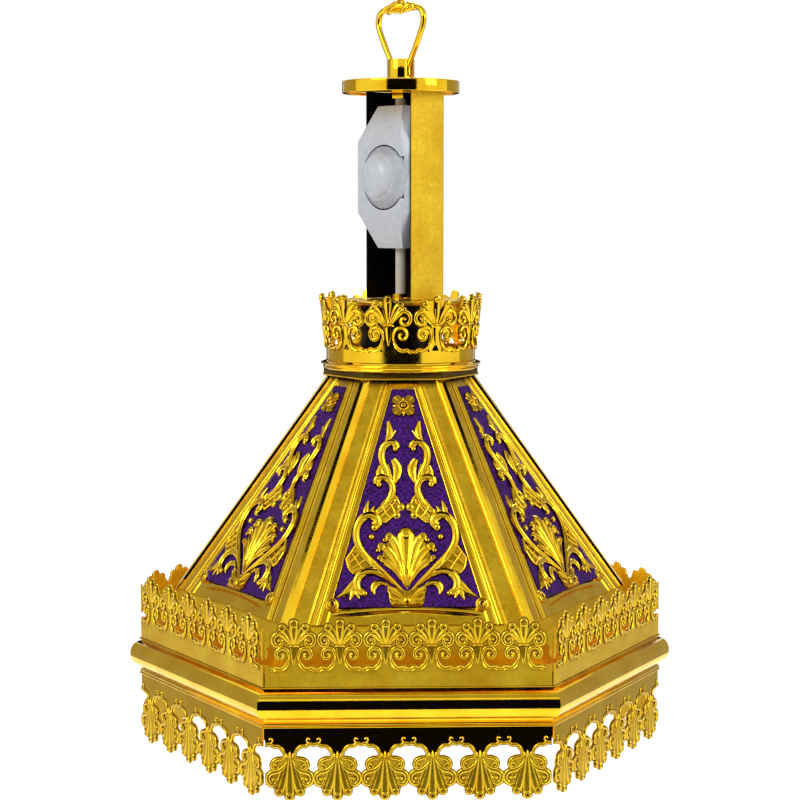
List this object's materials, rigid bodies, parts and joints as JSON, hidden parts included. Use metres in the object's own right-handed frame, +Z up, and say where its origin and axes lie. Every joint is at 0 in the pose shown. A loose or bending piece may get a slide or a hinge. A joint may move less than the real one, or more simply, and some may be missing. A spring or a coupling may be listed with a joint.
{
  "type": "hanging reading lantern",
  "caption": "Six-sided hanging lantern shade of polished brass with purple embossed panels, pierced galleries and crown, a channel neck holding a cord dimmer, and a hanging loop.",
  "frame": {"origin": "inside of the hanging loop's top, where a hook carries the lantern", "axes": "+Z up, the front face of the shade looks along -Y, two of the shade's corners lie on the X axis"},
  "size_m": [0.328, 0.2842, 0.4434],
  "materials": {
    "polished_gold": "polished, mirror bright, gold plated",
    "satin_gold": "polished with a fine mottled grain",
    "dark_metal": "dark bronze",
    "purple_enamel": "satin enamel over an embossed ground, with the raised ornament left gold",
    "pale_plastic": "satin moulded",
    "cable_sheath": "smooth round sheath",
    "steel": "bright",
    "circuit_board": "laminate",
    "black_plastic": "moulded",
    "frosted_glass": "frosted inside"
  },
  "bodies": {
    "loop": {"hanging_loop": "polished_gold"},
    "lantern": {"base_band": "polished_gold", "boss_nut": "satin_gold", "bulb_cap": "steel", "bulb_glass": "frosted_glass", "cable_lower": "cable_sheath", "cable_upper": "cable_sheath", "central_tube": "polished_gold", "corner_trim_1": "polished_gold", "corner_trim_2": "polished_gold", "corner_trim_3": "polished_gold", "corner_trim_4": "polished_gold", "corner_trim_5": "polished_gold", "corner_trim_6": "polished_gold", "crown_flange": "polished_gold", "crown_lace": "polished_gold", "dimmer_case_back": "pale_plastic", "dimmer_case_front": "pale_plastic", "dimmer_circuit": "circuit_board", "face_panel_1": "purple_enamel", "face_panel_2": "purple_enamel", "face_panel_3": "purple_enamel", "face_panel_4": "purple_enamel", "face_panel_5": "purple_enamel", "face_panel_6": "purple_enamel", "face_plate_1": "satin_gold", "face_plate_2": "satin_gold", "face_plate_3": "satin_gold", "face_plate_4": "satin_gold", "face_plate_5": "satin_gold", "face_plate_6": "satin_gold", "fringe_1": "polished_gold", "fringe_2": "polished_gold", "fringe_3": "polished_gold", "fringe_4": "polished_gold", "fringe_5": "polished_gold", "fringe_6": "polished_gold", "gallery_1": "polished_gold", "gallery_2": "polished_gold", "gallery_3": "polished_gold", "gallery_4": "polished_gold", "gallery_5": "polished_gold", "gallery_6": "polished_gold", "lampholder_body": "black_plastic", "lampholder_cap": "black_plastic", "lampholder_ring": "black_plastic", "loop_boss": "polished_gold", "neck_channel": "polished_gold", "neck_drum": "dark_metal", "neck_foot_disc": "satin_gold", "shade_cap_plate": "dark_metal", "shade_shell": "polished_gold", "top_disc": "polished_gold", "tube_nut_lower": "satin_gold", "tube_nut_upper": "satin_gold"},
    "dimmer_wheel": {"dimmer_knob": "pale_plastic", "dimmer_shaft": "steel"}
  },
  "joints": [
    {"name": "loop_swing", "type": "hinge", "parent": "loop", "child": "lantern", "pos_m": [0, 0, -0.035], "axis": [0.6293, -0.7771, 0], "range_deg": [-4, 4]},
    {"name": "dimmer_turn", "type": "hinge", "parent": "lantern", "child": "dimmer_wheel", "pos_m": [-0.01053, -0.01432, -0.0967], "axis": [-0.7771, -0.6293, 0], "range_deg": [0, 270]}
  ]
}
